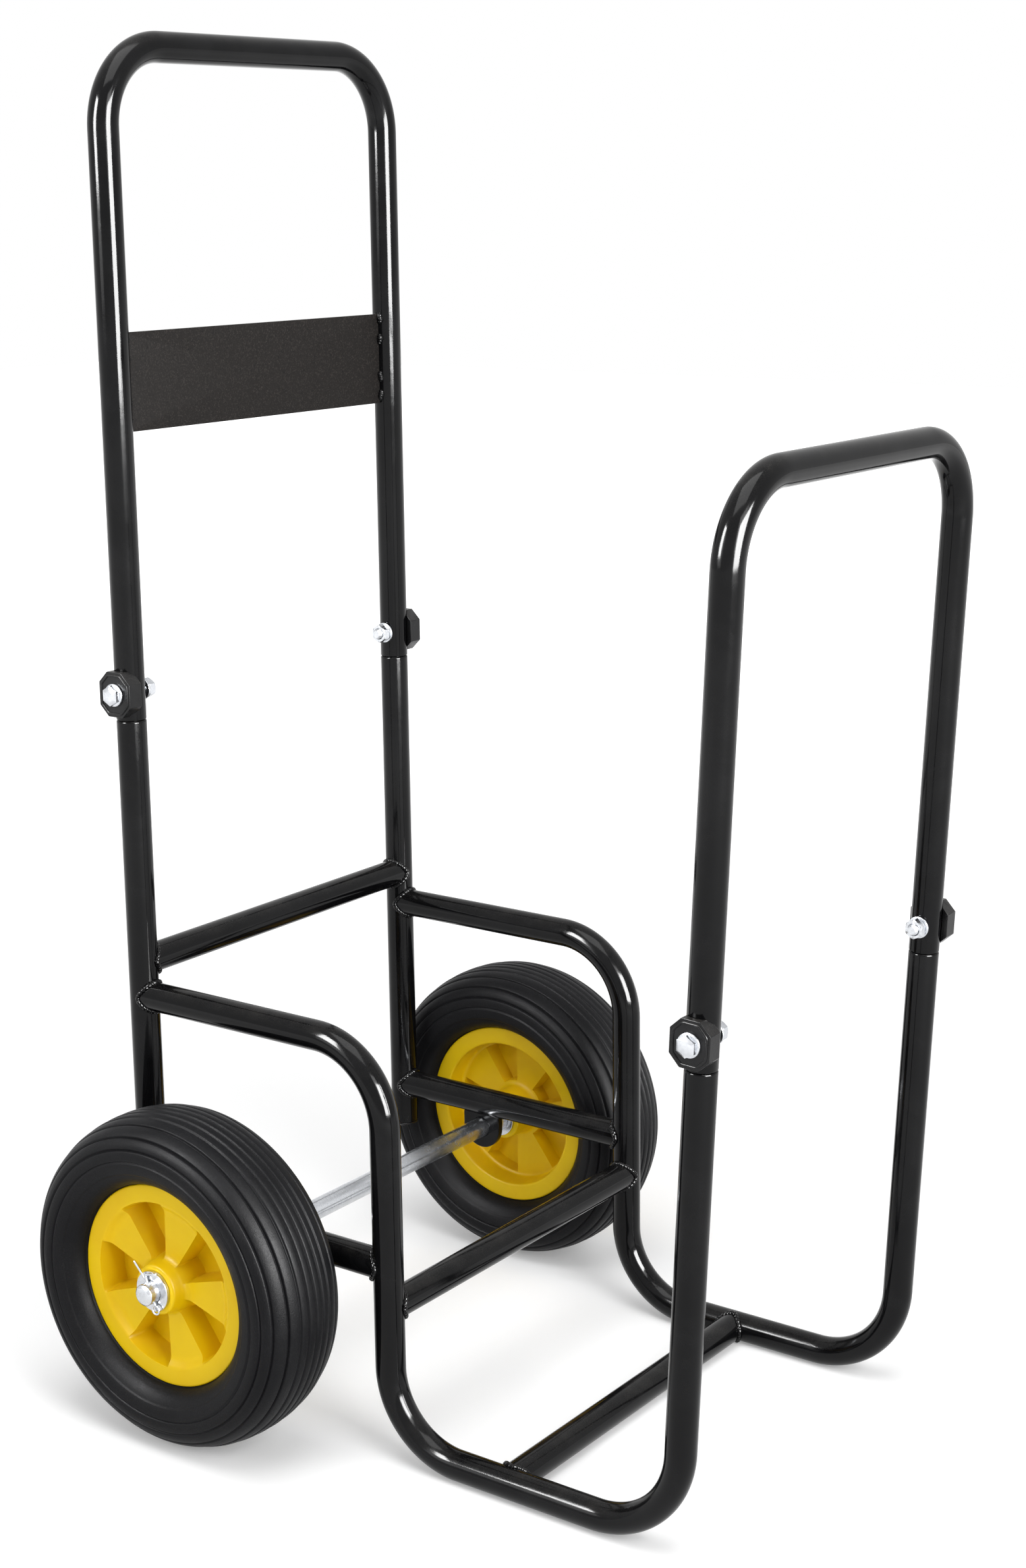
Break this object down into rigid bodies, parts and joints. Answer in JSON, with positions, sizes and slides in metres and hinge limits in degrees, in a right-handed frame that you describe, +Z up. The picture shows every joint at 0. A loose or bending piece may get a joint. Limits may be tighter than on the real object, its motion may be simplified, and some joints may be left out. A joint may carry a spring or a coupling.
{
  "type": "fireside log cart",
  "caption": "Two-wheeled cart for carrying firewood: bent black steel tube with a tall rear handle hoop, a low front hoop, a stepped open log bay and yellow rubber-tyred wheels.",
  "frame": {"origin": "on the floor, under the middle of the cart's width and length", "axes": "+X along the axle to the right, -Y to the front (the low hoop), +Z up"},
  "size_m": [0.5074, 0.5588, 1],
  "materials": {
    "black_gloss_coat": "gloss black powder coat on steel tube",
    "black_matt_coat": "fine matt charcoal coat on sheet steel",
    "black_plastic": "satin moulded plastic",
    "yellow_plastic": "smooth moulded plastic",
    "tyre_rubber": "ribbed matt rubber",
    "zinc_plate": "bright zinc plate",
    "bush_nylon": "natural nylon"
  },
  "bodies": {
    "frame": {"handle_hoop": "black_gloss_coat", "back_plate": "black_matt_coat", "front_hoop": "black_gloss_coat", "floor_cross_tube": "black_gloss_coat", "riser_cross_tube": "black_gloss_coat", "shelf_cross_tube": "black_gloss_coat", "axle": "zinc_plate", "base_side_left": "black_gloss_coat", "base_side_right": "black_gloss_coat", "rear_post_left": "black_gloss_coat", "rear_post_right": "black_gloss_coat", "post_plug_left": "black_plastic", "post_plug_right": "black_plastic", "axle_rail_left": "black_gloss_coat", "axle_rail_right": "black_gloss_coat", "axle_hanger_left": "black_gloss_coat", "axle_hanger_right": "black_gloss_coat", "outer_washer_left": "zinc_plate", "outer_washer_right": "zinc_plate", "inner_washer_left": "zinc_plate", "inner_washer_right": "zinc_plate", "wheel_spacer_left": "zinc_plate", "wheel_spacer_right": "zinc_plate", "split_pin_left": "zinc_plate", "split_pin_right": "zinc_plate", "joint_saddle_rear_left": "black_plastic", "joint_saddle_rear_right": "black_plastic", "joint_saddle_front_left": "black_plastic", "joint_saddle_front_right": "black_plastic", "joint_bolt_rear_left": "zinc_plate", "joint_bolt_rear_right": "zinc_plate", "joint_bolt_front_left": "zinc_plate", "joint_bolt_front_right": "zinc_plate", "joint_washer_rear_left": "zinc_plate", "joint_washer_rear_right": "zinc_plate", "joint_washer_front_left": "zinc_plate", "joint_washer_front_right": "zinc_plate", "joint_nut_rear_left": "zinc_plate", "joint_nut_rear_right": "zinc_plate", "joint_nut_front_left": "zinc_plate", "joint_nut_front_right": "zinc_plate"},
    "wheel_left": {"tyre_left": "tyre_rubber", "rim_left": "yellow_plastic", "hub_bush_left": "bush_nylon"},
    "wheel_right": {"tyre_right": "tyre_rubber", "rim_right": "yellow_plastic", "hub_bush_right": "bush_nylon"}
  },
  "joints": [
    {"name": "wheel_left_spin", "type": "hinge", "parent": "frame", "child": "wheel_left", "pos_m": [-0.2085, 0.15438, 0.125], "axis": [1, 0, 0], "continuous": true},
    {"name": "wheel_right_spin", "type": "hinge", "parent": "frame", "child": "wheel_right", "pos_m": [0.2085, 0.15438, 0.125], "axis": [1, 0, 0], "continuous": true}
  ]
}
